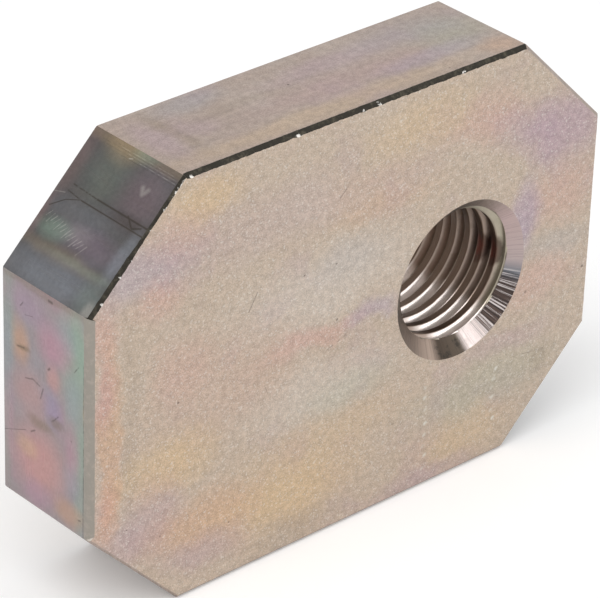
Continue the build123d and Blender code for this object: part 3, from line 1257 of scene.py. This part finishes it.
@dataclass
class Plate:
    """The plate: two flat faces and the band of bevels and sides between them, in millimetres."""

    low: Vector
    high: Vector
    corner_cut: float = 11.3
    corner_rounding: float = 0.3
    mouth_radius: float = 8.8
    back_mouth_radius: float = 8.15
    mouth_columns: int = 240
    bevel: float = 0.4
    end_bevel: float = 0.7
    back_bevel: float = 0.25
    fine_step: float = 0.16
    coarse_step: float = 0.34
    face_step: float = 0.46
    back_step: float = 0.95
    side_rows: int = 15
    rim_inset: float = 1.3
    roll_place: float = -43.4
    roll_half_width: float = 1.3
    roll_depth: float = 0.07
    dimple_radius: float = 0.26
    dimple_depth: float = 0.05
    mouth_rings: tuple[tuple[float, int], ...] = ((0.14, 240), (0.38, 160))
    dimple_rings: tuple[tuple[float, int], ...] = ((0.4, 6), (0.8, 10), (1.25, 12))
    gouges: tuple[tuple[float, float, int, float], ...] = (
        (6.05, 0.2, 2, 0.07),
        (6.9, 0.18, 2, 0.06),
        (6.45, 0.45, 4, 0.04),
    )  # place along the far top cut, half width, power of the fall and depth
    knocks: tuple[Knock, ...] = (
        Knock(Side.LONG_TOP, 30.4, 0.4, 0.85),
        Knock(Side.LONG_TOP, 22.0, 0.3, 0.6),
        Knock(Side.LONG_TOP, 19.9, 0.45, 0.85),
        Knock(Side.LONG_TOP, 8.6, 0.45, 0.8),
        Knock(Side.LONG_TOP, 43.7, 0.4, 0.75),
        Knock(Side.CUT_TOP_FAR, 1.1, 1.7, 0.7),
        Knock(Side.CUT_TOP_FAR, 3.4, 0.7, 0.5),
        Knock(Side.CUT_TOP_FAR, 5.6, 2.2, 0.34, 0.0),
        Knock(Side.CUT_TOP_FAR, 7.4, 0.25, 0.8),
        Knock(Side.CUT_TOP_FAR, 9.3, 0.2, 0.7),
        Knock(Side.CUT_TOP_FAR, 11.2, 0.18, 0.8),
        Knock(Side.CUT_TOP_FAR, 14.2, 0.25, 0.8),
    )

    def corners(self) -> list[np.ndarray]:
        """Gives the outline's eight corners, along X and Z, in the order of the sides."""
        x0, x1, z0, z1, cut = self.low.x, self.high.x, self.low.z, self.high.z, self.corner_cut
        return [
            np.array(corner)
            for corner in (
                (x0 + cut, z1),
                (x0, z1 - cut),
                (x0, z0 + cut),
                (x0 + cut, z0),
                (x1 - cut, z0),
                (x1, z0 + cut),
                (x1, z1 - cut),
                (x1 - cut, z1),
            )
        ]

    def _stations(self) -> tuple[np.ndarray, np.ndarray, np.ndarray]:
        """Spaces the band's columns round the outline.

        Returns:
            For each column its side number, its share along that side, and its distance along it.
        """
        corners = self.corners()
        tangent = self.corner_rounding * math.tan(HALF_TURN)
        sides, shares, runs = [], [], []
        for number in range(8):
            length = float(np.linalg.norm(corners[(number + 1) % 8] - corners[number]))
            step = self.fine_step if Side(number) in SEEN_SIDES else self.coarse_step
            count = round((length - 2 * tangent) / step)
            marks = [0.0, *np.linspace(tangent, length - tangent, count + 1)]
            sides += [number] * len(marks)
            shares += [mark / length for mark in marks]
            runs += marks
        return np.array(sides), np.array(shares), np.array(runs)

    def _ring(self, sides: np.ndarray, shares: np.ndarray, inset: np.ndarray) -> np.ndarray:
        """Places one ring of columns at a given inset from the outline.

        Args:
            sides: each column's side.
            shares: each column's share along its side.
            inset: each column's distance in from the outline.

        Returns:
            The places along X and Z, one row each.
        """
        corners = self.corners()
        normals, mitres = [], []
        for number in range(8):
            run = corners[(number + 1) % 8] - corners[number]
            run = run / np.linalg.norm(run)
            normals.append(np.array((-run[1], run[0])))
        for number in range(8):
            before, after = normals[number - 1], normals[number]
            mitres.append((before + after) / (1 + float(before @ after)))
        start = np.array(corners)[sides]
        end = np.array(corners)[(sides + 1) % 8]
        push_start = np.array(mitres)[sides]
        push_end = np.array(mitres)[(sides + 1) % 8]
        t = shares[:, None]
        d = inset[:, None]
        ring = (start + push_start * d) * (1 - t) + (end + push_end * d) * t
        at_corner = shares == 0.0
        rounding = self.corner_rounding * (1 / math.cos(HALF_TURN) - 1)
        fade = np.clip(1 - inset / 0.3, 0, 1)
        mitre_unit = push_start / np.linalg.norm(push_start, axis=1)[:, None]
        ring += mitre_unit * (rounding * fade * at_corner)[:, None]
        return ring

    def _legs(self, sides: np.ndarray, runs: np.ndarray) -> tuple[np.ndarray, np.ndarray, np.ndarray]:
        """Gives the ragged front bevel.

        Args:
            sides: each column's side.
            runs: each column's distance along its side.

        Returns:
            The bevel's leg on the face, its leg on the side, and how bright each column is.
        """
        face_leg, side_leg, bright = [], [], []
        corners = self.corners()
        lengths = [float(np.linalg.norm(corners[(n + 1) % 8] - corners[n])) for n in range(8)]
        for number, run in zip(sides, runs):
            side = Side(int(number))
            leg = self.end_bevel if side is Side.END_FAR else self.bevel
            if side is Side.CUT_TOP_FAR:
                leg *= 0.5 + 0.32 * min(1.0, max(0.0, (run - 7.5) / 2.0))
            elif side is Side.CUT_LOW_FAR:
                leg *= 0.6
            ragged = RAGGED.get(side, RAGGED_ELSEWHERE)
            to_end = min(run, lengths[number] - run)
            hold = min(1.0, 0.25 + to_end / 0.8)
            here = Vector((run * 1.1, number * 17.3, 0.0))
            tear = sum(noise.noise(here * pace) * share for pace, share in TEARS)
            other = noise.noise(here * 1.7 + Vector((40, 0, 0))) * 0.5
            knocked = dent = 0.0
            for knock in self.knocks:
                if knock.side is side:
                    weight = math.exp(-(((run - knock.at) / knock.half_length) ** 2) * 1.4)
                    knocked = max(knocked, knock.brightness * weight)
                    dent += knock.dent * weight
            face_leg.append(leg * (1 + 0.42 * ragged * tear * hold) + dent)
            side_leg.append(leg * (1 + 0.22 * ragged * other * hold) + 0.6 * dent)
            bright.append(knocked)
        return np.array(face_leg), np.array(side_leg), np.array(bright)

    def add_band(self, shell: Shell) -> tuple[np.ndarray, np.ndarray]:
        """Adds the bevels and sides.

        Args:
            shell: the shell to grow.

        Returns:
            The innermost ring on the front face and on the back face.
        """
        sides, shares, runs = self._stations()
        face_leg, side_leg, bright = self._legs(sides, runs)
        ones = np.ones(len(sides))
        back = ones * self.back_bevel
        y0, y1 = self.low.y, self.high.y
        torn = np.array([noise.noise(Vector((run * 2.3, n * 11.0, 9.0))) for n, run in zip(sides, runs)])
        rough = np.where(sides == Side.END_FAR.value, 0.12, 1.0)
        convex = np.where(sides == Side.END_FAR.value, 1.0, 0.0)
        rows: list[tuple[np.ndarray, np.ndarray, float, str]] = [
            (ones * self.rim_inset, ones * y0, 0.0, "face"),
            (face_leg + 0.45, ones * y0, 0.0, "face"),
            (face_leg + 0.1, ones * y0, 0.1, "face"),
            (face_leg, ones * y0 + 0.008, 1.0, "bevel"),
            (
                face_leg * (0.9 - 0.26 * convex),
                y0 + side_leg * (0.1 - 0.05 * convex) + 0.02,
                1.0,
                "bevel",
            ),
            (
                face_leg * (0.5 - 0.2 * convex + 0.14 * torn * rough),
                y0 + side_leg * (0.5 - 0.2 * convex),
                0.62,
                "bevel",
            ),
            (
                face_leg * (0.14 - 0.09 * convex),
                y0 + side_leg * (0.86 - 0.24 * convex),
                0.3,
                "bevel",
            ),
            (ones * 0.012, y0 + side_leg, 0.1, "bevel"),
            (ones * 0.0, y0 + side_leg + 0.08, 0.0, "side"),
        ]
        start = y0 + side_leg + 0.08
        end = ones * (y1 - self.back_bevel - 0.06)
        for step in range(1, self.side_rows):
            share = step / self.side_rows
            rows.append((ones * 0.0, start * (1 - share) + end * share, 0.0, "side"))
        rows += [
            (ones * 0.0, end, 0.0, "side"),
            (ones * 0.01, end + 0.06, 0.0, "back_bevel"),
            (back * 0.5, ones * (y1 - self.back_bevel * 0.5), 0.0, "back_bevel"),
            (back, ones * (y1 - 0.006), 0.0, "back"),
            (back + 0.12, ones * y1, 0.0, "back"),
            (ones * self.rim_inset, ones * y1, 0.0, "back"),
        ]
        columns = len(sides)
        points, brights = [], []
        for inset, depth, glow, _kind in rows:
            flat = self._ring(sides, shares, inset)
            points.append(np.column_stack((flat[:, 0], depth, flat[:, 1])))
            brights.append(bright * glow)
        self._press(points, sides, runs)
        faces, skins = [], []
        for row in range(len(rows) - 1):
            kind = rows[row][3]
            for column in range(columns):
                here, right = row * columns + column, row * columns + (column + 1) % columns
                faces.append((here, right, right + columns, here + columns))
                skins.append(self._skin(kind, Side(int(sides[column]))).value)
        shell.add(np.concatenate(points), faces, skins, np.concatenate(brights))
        return points[0], points[-1]

    @staticmethod
    def _skin(kind: str, side: Side) -> Skin:
        """Picks the finish of a strip of the band."""
        if kind in ("face", "back"):
            return Skin.FACE if kind == "face" else Skin.BACK
        if kind == "bevel":
            if side is Side.END_FAR:
                return Skin.END_BEVEL
            if side in (Side.LONG_TOP, Side.CUT_TOP_FAR):
                return Skin.PAINTED_DARK_BEVEL
            return Skin.DRAWN
        if side in (Side.CUT_TOP_FAR, Side.CUT_LOW_NEAR):
            return Skin.CROPPED
        if side is Side.END_FAR:
            return Skin.END
        return Skin.DRAWN

    def _press(self, points: list[np.ndarray], sides: np.ndarray, runs: np.ndarray) -> None:
        """Presses the transverse gouge, two grooves and a hollow between, into the far top cut."""
        inward = np.array((HALF_SQRT, 0.0, -HALF_SQRT))
        on_cut = sides == Side.CUT_TOP_FAR.value
        for row in points:
            middle = np.clip((6.3 - np.abs(row[:, 1])) / 0.5, 0, 1)
            weaker = np.clip((4.8 - row[:, 1]) / 6.0, 0.15, 1)
            depth = sum(
                deep * np.exp(-(((runs - at) / half) ** power)) for at, half, power, deep in self.gouges
            )
            row += inward * (depth * middle * weaker * on_cut)[:, None]

    def add_face(self, shell: Shell, rim: np.ndarray, step: float, seed: int) -> None:
        """Adds one of the plate's two faces, from its rim to the mouth of the hole.

        Args:
            shell: the shell to grow.
            rim: the ring that bounds it.
            step: spacing of its points.
            seed: seed of the points' small scatter.
        """
        front = rim[0][1] < 0
        scatter = random.Random(seed)
        border = [Vector((p[0], p[2])) for p in rim]
        opening = self.mouth_radius if front else self.back_mouth_radius
        mouth = self._circle(opening, self.mouth_columns)
        clear_of_mouth = opening + (self.mouth_rings[-1][0] if front else 0.0) + 0.6 * step
        clear_of_dimple = self.dimple_radius * self.dimple_rings[-1][0] + 0.5 * step
        inner = []
        for grow, count in self.mouth_rings if front else ():
            inner += self._circle(opening + grow, count)
        dimples = [Vector(spot) for spot in DIMPLES] if front else []
        for spot in dimples:
            inner.append(spot.copy())
            for share, count in self.dimple_rings:
                inner += [spot + turn * self.dimple_radius * share for turn in self._circle(1.0, count)]
        corners = [Vector(c) for c in self.corners()]
        row_height = step * math.sqrt(0.75)
        z = self.low.z
        line = 0
        while z < self.high.z:
            x = self.low.x + (0.5 * step if line % 2 else 0.0)
            while x < self.high.x:
                shift = Vector((scatter.uniform(-1, 1), scatter.uniform(-1, 1)))
                spot = Vector((x, z)) + shift * step * 0.14
                clear = (
                    self._depth_inside(spot, corners) > self.rim_inset + 0.55 * step
                    and spot.length > clear_of_mouth
                    and all((spot - dimple).length > clear_of_dimple for dimple in dimples)
                )
                if clear:
                    inner.append(spot)
                x += step
            z += row_height
            line += 1
        count, holes = len(border), len(mouth)
        edges = [(i, (i + 1) % count) for i in range(count)]
        edges += [(count + i, count + (i + 1) % holes) for i in range(holes)]
        made = delaunay_2d_cdt(border + mouth + inner, edges, [], 1, 1e-6, False)
        flat = np.array([tuple(p) for p in made[0]])
        faces = [tuple(tri) for tri in made[2] if self._belongs(tri, flat, count, holes)]
        depth = np.full(len(flat), rim[0][1])
        if front:
            depth = depth + self._relief(flat, dimples)
        points = np.column_stack((flat[:, 0], depth, flat[:, 1]))
        shell.add(points, faces, [(Skin.FACE if front else Skin.BACK).value] * len(faces))

    @staticmethod
    def _circle(radius: float, count: int) -> list[Vector]:
        """Spaces points evenly on a circle, from +X."""
        angles = [2 * math.pi * k / count for k in range(count)]
        return [Vector((radius * math.cos(a), radius * math.sin(a))) for a in angles]

    @staticmethod
    def _belongs(tri: list[int], flat: np.ndarray, count: int, holes: int) -> bool:
        """Says whether a triangle is part of the face, and not of the hole or a sliver on the border.

        Args:
            tri: the triangle's three points.
            flat: all the points along X and Z.
            count: how many points are on the border, which come first.
            holes: how many points are on the mouth, which come next.

        Returns:
            True where the triangle stays.
        """
        a, b, c = (flat[i] for i in tri)
        over_hole = np.hypot(*((a + b + c) / 3)) < 0.97 * np.hypot(*flat[count])
        if over_hole or all(count <= i < count + holes for i in tri):
            return False
        area = abs((b[0] - a[0]) * (c[1] - a[1]) - (b[1] - a[1]) * (c[0] - a[0])) / 2
        return area > 1e-4 or not all(i < count for i in tri)

    @staticmethod
    def _depth_inside(spot: Vector, corners: list[Vector]) -> float:
        """Gives how far a point lies inside the outline."""
        least = 1e9
        for number, corner in enumerate(corners):
            run = (corners[(number + 1) % 8] - corner).normalized()
            least = min(least, (spot - corner).dot(Vector((-run.y, run.x))))
        return least

    def _relief(self, flat: np.ndarray, dimples: list[Vector]) -> np.ndarray:
        """Gives the front face's shallow relief: the groove near its far end, and the dimples.

        Args:
            flat: the face's points along X and Z.
            dimples: the dimples' centres.

        Returns:
            How far each point lies in from the face's plane.
        """
        along = np.clip((10.5 - np.abs(flat[:, 1] + 0.5)) / 2.5, 0, 1)
        groove = np.exp(-(((flat[:, 0] - self.roll_place) / self.roll_half_width) ** 2))
        depth = self.roll_depth * groove * along * along * (3 - 2 * along)
        for spot in dimples:
            away = np.hypot(flat[:, 0] - spot.x, flat[:, 1] - spot.y) / self.dimple_radius
            depth = depth + self.dimple_depth * np.clip(1 - away * away, 0, None)
        return depth


@dataclass
class Nut:
    """The whole nut: the plate and its tapped hole as one closed mesh."""

    low: Vector
    high: Vector
    base: Colour = linear(190, 173, 156)

    def build(self, effects: Effects) -> bpy.types.Object:
        """Makes the nut and dresses it.

        Args:
            effects: the shared node groups.

        Returns:
            The nut's object.
        """
        shell = Shell()
        plate = Plate(self.low, self.high)
        front_rim, back_rim = plate.add_band(shell)
        plate.add_face(shell, front_rim, plate.face_step, seed=3)
        plate.add_face(shell, back_rim, plate.back_step, seed=4)
        hole = TappedHole(
            half_thickness=self.high.y,
            mouth_radius=plate.mouth_radius,
            back_mouth_radius=plate.back_mouth_radius,
            columns=plate.mouth_columns,
        )
        hole.add_to(shell)
        mesh = shell.mesh("nut_plated_plate")
        for finish in self.finishes():
            mesh.materials.append(finish.make(effects))
        mesh.shade_smooth()
        mesh.set_sharp_from_angle(angle=math.radians(26))
        nut = bpy.data.objects.new("nut_plated_plate", mesh)
        bpy.context.scene.collection.objects.link(nut)
        return nut

    def finishes(self) -> list[Finish]:
        """Lists the finishes in the order of the skins."""
        x0, z1, cut = self.low.x, self.high.z, Plate.corner_cut
        return [
            PlatedFinish(
                "plated_face",
                self.base,
                ORIGIN,
                ALONG_X,
                ALONG_Z,
                patches=FRONT_PATCHES,
                film_strength=0.8,
                dark_lines=FRONT_SCRATCHES,
                dark_strength=0.45,
                bright_lines=FRONT_GLINTS,
                bright_strength=0.9,
            ),
            PlatedFinish(
                "drawn_side",
                linear(167, 150, 139),
                ORIGIN,
                ALONG_X,
                ALONG_Y,
                roughness=0.36,
                relief=0.008,
                sparkle=0.08,
                streak=0.16,
                warp=1.2,
                patches=TOP_PATCHES,
                film_strength=0.85,
            ),
            PlatedFinish(
                "cropped_corner",
                linear(84, 82, 82),
                (x0 + cut, 0.0, z1),
                (-HALF_SQRT, 0.0, -HALF_SQRT),
                ALONG_Y,
                metallic=0.8,
                roughness=0.26,
                grain_size=0.4,
                relief=0.004,
                mottle=0.2,
                sparkle=0.0,
                warp=0.7,
                streak=0.14,
                streak_stretch=(1.0, 0.12, 1.0),
                drift=(Film.STEEL, Film.UMBER),
                drift_strength=0.1,
                specks=0.1,
                patches=CROPPED_PATCHES,
                film_strength=0.78,
                dark_strength=0.9,
                bright_strength=0.4,
                dark_lines=CROPPED_DARK,
                bright_lines=CROPPED_BRIGHT,
            ),
            PlatedFinish(
                "iridescent_end",
                linear(157, 145, 147),
                ORIGIN,
                ALONG_Z,
                ALONG_Y,
                metallic=0.8,
                roughness=0.28,
                grain_size=0.35,
                relief=0.006,
                mottle=0.14,
                sparkle=0.03,
                warp=0.9,
                drift=(Film.PINK, Film.STEEL),
                drift_strength=0.3,
                specks=0.3,
                speck_spacing=1.6,
                patches=END_PATCHES,
                film_strength=0.8,
                dark_lines=END_DARK,
                dark_strength=0.6,
            ),
            EdgeFinish("painted_dark_bevel", linear(38, 34, 26), linear(96, 90, 76)),
            EdgeFinish(
                "rolled_end_edge",
                linear(156, 150, 141),
                linear(180, 167, 158),
                metallic=0.8,
                roughness=0.34,
                relief=0.02,
                mottle=0.6,
            ),
            CountersinkFinish(),
            ThreadFinish(),
            PlatedFinish(
                "plated_back",
                self.base,
                (x0 + self.high.x, 0.0, 0.0),
                (-1.0, 0.0, 0.0),
                (0.0, 0.0, -1.0),
                patches=FRONT_PATCHES[4::3],
                film_strength=0.7,
            ),
        ]

    def declare(self, nut: bpy.types.Object) -> None:
        """Attaches the piece to its body and hides the imported part that it stands for."""
        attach(nut, BODY)
        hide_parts(NODE)


# --------------------------------------------------------------------------------------------------
# Studio
# --------------------------------------------------------------------------------------------------


@dataclass(frozen=True)
class Lamp:
    """One area lamp: where it stands, how large it is, its power and what it looks at."""

    name: str
    azimuth: float
    elevation: float
    distance: float
    size: Point2
    power: float
    colour: Colour = (1.0, 1.0, 1.0)


@dataclass
class Studio:
    """Camera, floor, lamps and world."""

    azimuth: float = -42.61
    elevation: float = 29.79
    roll: float = 1.96
    aim: Point3 = (-15.54, 0.47, 0.22)
    distance: float = 376.1
    lens: float = 226.3
    sensor: float = 36.0
    floor_half: float = 1.6
    floor_colour: Colour = (0.90, 0.90, 0.90)
    floor_lift: float = 0.14
    world_light: float = 0.62
    lamps: tuple[Lamp, ...] = (
        Lamp("key_softbox", -70.0, 58.0, 0.75, (0.55, 0.55), 2.4),
        Lamp("low_strip", 22.0, 16.0, 0.60, (0.42, 0.10), 0.55),
        Lamp("fill_softbox", 40.0, 50.0, 0.80, (0.50, 0.50), 0.8),
    )

    @staticmethod
    def _direction(azimuth: float, elevation: float) -> Vector:
        """Gives the direction from the nut to an azimuth, turned from -Y to +X, and an elevation."""
        a, e = math.radians(azimuth), math.radians(elevation)
        return Vector((math.sin(a) * math.cos(e), -math.cos(a) * math.cos(e), math.sin(e)))

    def make_camera(self) -> None:
        """Makes the camera and sets it as the scene's."""
        data = bpy.data.cameras.new("camera")
        data.lens = self.lens
        data.sensor_width = self.sensor
        data.clip_start = 0.01
        data.clip_end = 20.0
        camera = bpy.data.objects.new("camera", data)
        bpy.context.scene.collection.objects.link(camera)
        back = self._direction(self.azimuth, self.elevation)
        camera.location = Vector(self.aim) * MM + back * self.distance * MM
        level = (-back).to_track_quat("-Z", "Y").to_matrix().to_4x4()
        turned = level @ Matrix.Rotation(math.radians(self.roll), 4, "Z")
        camera.rotation_euler = turned.to_euler()
        bpy.context.scene.camera = camera

    def make_floor(self, level: float) -> None:
        """Makes the pale floor that the nut stands on.

        Args:
            level: the floor's height, in metres.
        """
        mesh = bpy.data.meshes.new("floor")
        half = self.floor_half
        mesh.from_pydata(
            [(-half, -half, level), (half, -half, level), (half, half, level), (-half, half, level)],
            [],
            [(0, 1, 2, 3)],
        )
        floor = bpy.data.objects.new("floor", mesh)
        bpy.context.scene.collection.objects.link(floor)
        material = bpy.data.materials.new("pale_floor")
        material.use_nodes = True
        shader = material.node_tree.nodes["Principled BSDF"]
        shader.inputs["Base Color"].default_value = (*self.floor_colour, 1.0)
        shader.inputs["Roughness"].default_value = 0.9
        shader.inputs["Specular IOR Level"].default_value = 0.1
        shader.inputs["Emission Color"].default_value = (1.0, 1.0, 1.0, 1.0)
        bench = Bench(material.node_tree)
        seen = bench.node("ShaderNodeLightPath").outputs["Is Camera Ray"]
        bench.feed(shader.inputs["Emission Strength"], bench.times(seen, self.floor_lift))
        mesh.materials.append(material)

    def make_lamps(self, target: Vector) -> None:
        """Makes the soft lamps.

        Args:
            target: the point that they look at, in metres.
        """
        for lamp in self.lamps:
            data = bpy.data.lights.new(lamp.name, "AREA")
            data.shape = "RECTANGLE"
            data.size, data.size_y = lamp.size
            data.energy = lamp.power
            data.color = lamp.colour
            made = bpy.data.objects.new(lamp.name, data)
            bpy.context.scene.collection.objects.link(made)
            direction = self._direction(lamp.azimuth, lamp.elevation)
            made.location = target + direction * lamp.distance
            made.rotation_euler = (-direction).to_track_quat("-Z", "Y").to_euler()

    def make_world(self) -> None:
        """Makes the world: soft light all round, seen as white."""
        world = bpy.data.worlds.new("studio")
        bpy.context.scene.world = world
        world.use_nodes = True
        bench = Bench(world.node_tree)
        back = world.node_tree.nodes["Background"]
        back.inputs["Color"].default_value = (1.0, 1.0, 1.0, 1.0)
        path = bench.node("ShaderNodeLightPath")
        seen = bench.math("MAXIMUM", path.outputs["Is Camera Ray"], path.outputs["Is Transmission Ray"])
        seen = bench.math("MAXIMUM", seen, path.outputs["Is Glossy Ray"])
        strength = bench.math("MULTIPLY_ADD", seen, 1 - self.world_light, self.world_light)
        bench.feed(back.inputs["Strength"], strength)


def main() -> None:
    """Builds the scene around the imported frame."""
    logging.basicConfig(level=logging.INFO, format="%(name)s: %(message)s")
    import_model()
    low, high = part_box(NODE)
    view = bpy.context.scene.view_settings
    view.view_transform = "Standard"
    studio = Studio()
    studio.make_camera()
    studio.make_floor(low.z)
    studio.make_lamps((low + high) / 2)
    studio.make_world()
    LOG.info("studio is set")
    nut_maker = Nut(low / MM, high / MM)
    nut = nut_maker.build(Effects())
    nut_maker.declare(nut)
    LOG.info("nut is dressed: %d faces", len(nut.data.polygons))


if __name__ == "__main__":
    main()
